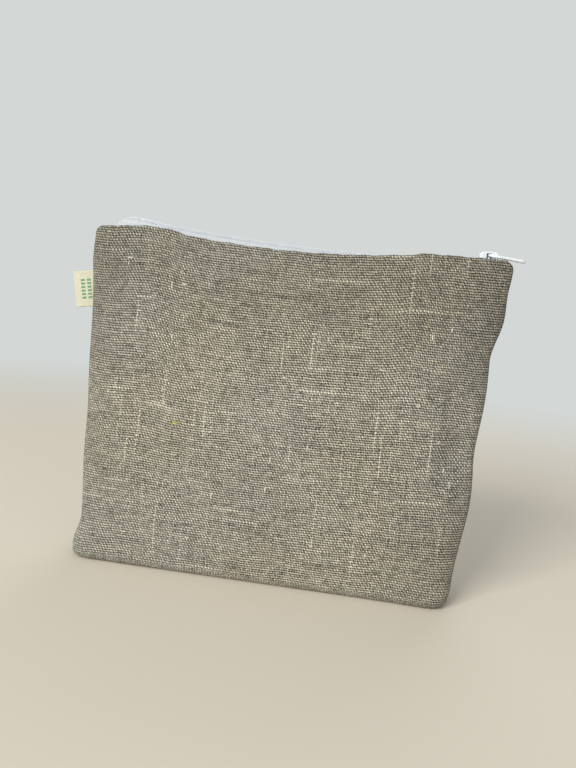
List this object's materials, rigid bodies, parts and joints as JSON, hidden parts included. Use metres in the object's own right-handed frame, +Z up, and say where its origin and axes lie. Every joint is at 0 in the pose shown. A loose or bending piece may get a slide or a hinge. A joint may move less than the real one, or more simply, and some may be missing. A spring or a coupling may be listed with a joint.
{
  "type": "zip pouch",
  "caption": "Lined linen zip pouch with a boxed flat base, a coil zip along the top, a swinging pull tab and a folded side tag.",
  "frame": {"origin": "middle of the flat base", "axes": "+X along the zip towards its closed end, -Y the front, +Z up"},
  "size_m": [0.2345, 0.042, 0.1833],
  "materials": {
    "linen": "natural undyed flax in a coarse plain weave with slubs",
    "lining": "plain unbleached cotton",
    "zip_tape": "white knitted polyester tape",
    "coil": "white nylon coil",
    "enamel": "white enamel over zinc",
    "spring_steel": "plain",
    "tag": "cream cotton tape"
  },
  "bodies": {
    "pouch": {"outer_front_panel": "linen", "outer_back_panel": "linen", "lining_front": "lining", "lining_back": "lining", "zip_tape_front": "zip_tape", "zip_tape_back": "zip_tape", "zip_coil_front": "coil", "zip_coil_back": "coil", "coil_core_front": "zip_tape", "coil_core_back": "zip_tape", "top_stop_front": "enamel", "top_stop_back": "enamel", "bottom_stop": "enamel", "side_label": "tag"},
    "slider": {"slider_body": "enamel", "slider_crown": "enamel", "lock_spring": "spring_steel"},
    "pull": {"pull_tab": "enamel"}
  },
  "joints": [
    {"name": "slider_run", "type": "hinge", "parent": "pouch", "child": "slider", "pos_m": [0.045, 0, 1.27455], "axis": [0, 1, 0], "range_deg": [0, 9.4], "deforming": ["zip_coil_front", "zip_coil_back", "coil_core_front", "coil_core_back", "zip_tape_front", "zip_tape_back"]},
    {"name": "pull_swing", "type": "hinge", "parent": "slider", "child": "pull", "pos_m": [0.09929, 0, 0.18004], "axis": [0, -1, 0], "range_deg": [0, 190]}
  ]
}
